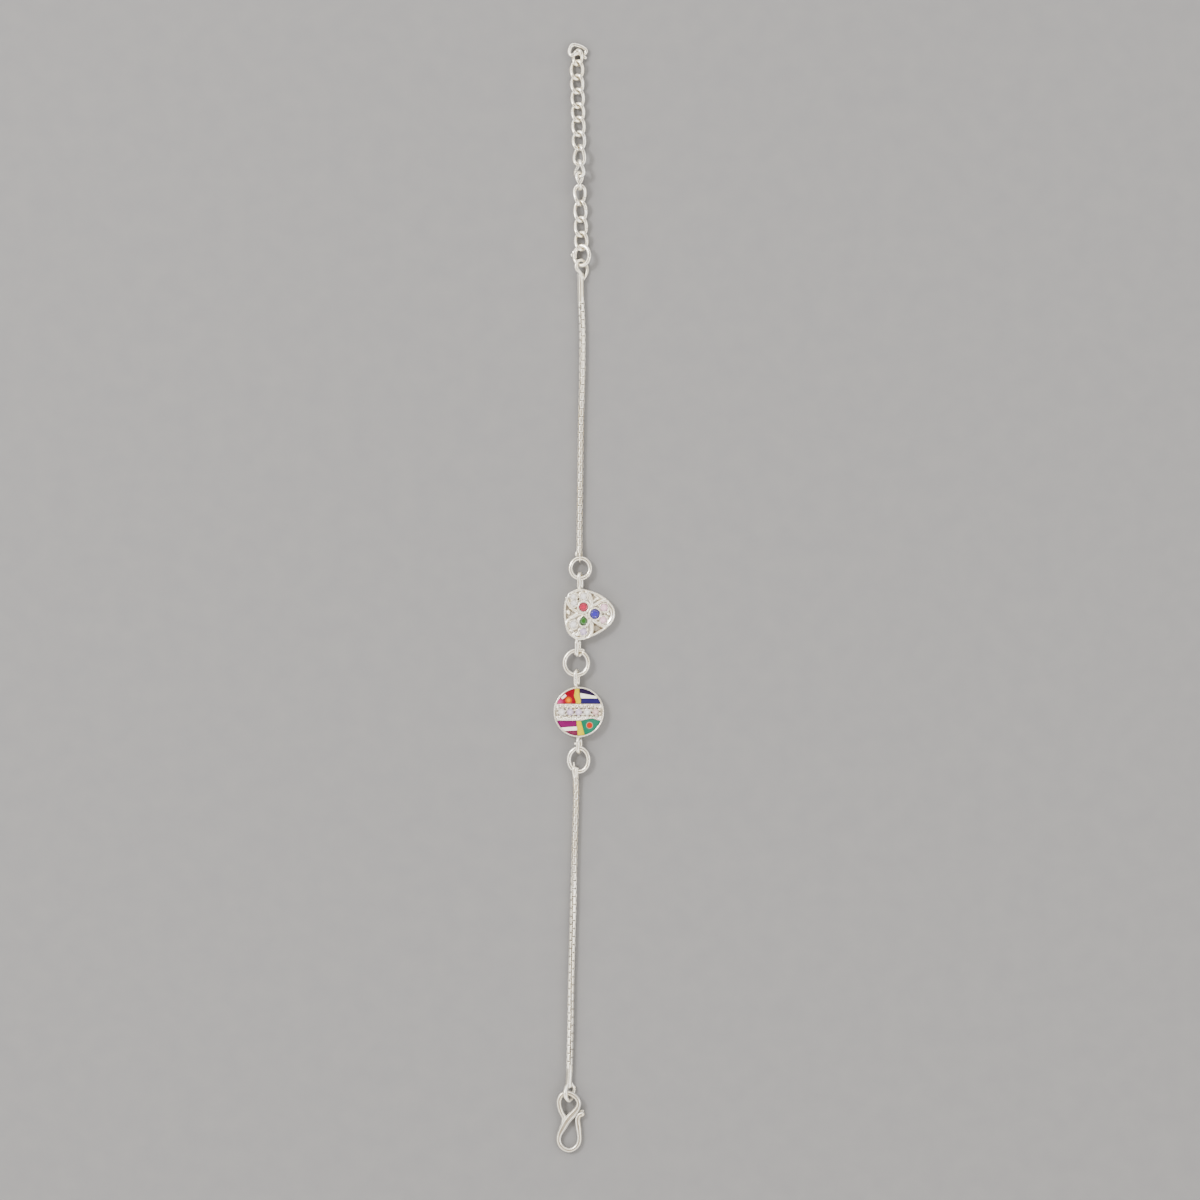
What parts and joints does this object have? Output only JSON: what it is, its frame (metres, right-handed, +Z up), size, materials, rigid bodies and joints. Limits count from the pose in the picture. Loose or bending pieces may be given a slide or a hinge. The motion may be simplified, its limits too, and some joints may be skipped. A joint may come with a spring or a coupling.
{
  "type": "charm bracelet",
  "caption": "Fine silver charm bracelet laid out straight: curb-link extender, box chain, jewelled trefoil charm, enamelled disc charm and S-hook clasp joined by jump rings.",
  "frame": {"origin": "on the surface that the bracelet lies on, below the middle of its whole outline", "axes": "+Y along the bracelet from its hook clasp towards the extender's end, +X across it, +Z up from the surface through the charms' faces"},
  "size_m": [0.0112, 0.2004, 0.0027],
  "materials": {
    "silver": "polished sterling silver, soft wear",
    "stone_ruby": "faceted ruby-red stone",
    "stone_blue": "faceted royal-blue stone",
    "stone_green": "pear-shaped green stone",
    "stone_pink": "faceted pale pink stone",
    "stone_clear": "faceted clear stone, set in bead grains",
    "enamel_red": "glossy enamel",
    "enamel_orange": "glossy enamel",
    "enamel_yellow": "glossy enamel",
    "enamel_navy": "glossy enamel",
    "enamel_white": "glossy enamel",
    "enamel_blue": "glossy enamel",
    "enamel_purple": "glossy enamel",
    "enamel_mauve": "glossy enamel",
    "enamel_teal": "glossy enamel",
    "enamel_coral": "glossy enamel"
  },
  "bodies": {
    "root": {"chain_lower": "silver", "chain_upper": "silver", "disc_body": "silver", "enamel_blue": "enamel_blue", "enamel_dash": "enamel_white", "enamel_dot_coral": "enamel_coral", "enamel_dot_orange": "enamel_orange", "enamel_mauve": "enamel_mauve", "enamel_navy": "enamel_navy", "enamel_purple": "enamel_purple", "enamel_red": "enamel_red", "enamel_teal": "enamel_teal", "enamel_white_lower": "enamel_white", "enamel_white_upper": "enamel_white", "enamel_yellow_lower": "enamel_yellow", "enamel_yellow_upper": "enamel_yellow", "extender_end_ring": "silver", "extender_link_01": "silver", "extender_link_02": "silver", "extender_link_03": "silver", "extender_link_04": "silver", "extender_link_05": "silver", "extender_link_06": "silver", "extender_link_07": "silver", "extender_link_08": "silver", "extender_link_09": "silver", "extender_link_10": "silver", "extender_link_11": "silver", "extender_link_12": "silver", "extender_link_13": "silver", "extender_link_14": "silver", "extender_ring": "silver", "hook": "silver", "pave_stone_1": "stone_clear", "pave_stone_2": "stone_clear", "pave_stone_3": "stone_clear", "pave_stone_4": "stone_clear", "pave_stone_5": "stone_clear", "ring_lower": "silver", "ring_middle": "silver", "ring_upper": "silver", "stone_blue": "stone_blue", "stone_green": "stone_green", "stone_pink_lower": "stone_pink", "stone_pink_upper": "stone_pink", "stone_ruby": "stone_ruby", "stone_white_1": "stone_clear", "stone_white_2": "stone_clear", "stone_white_3": "stone_clear", "stone_white_4": "stone_clear", "stone_white_5": "stone_clear", "trefoil_body": "silver"}
  },
  "joints": []
}
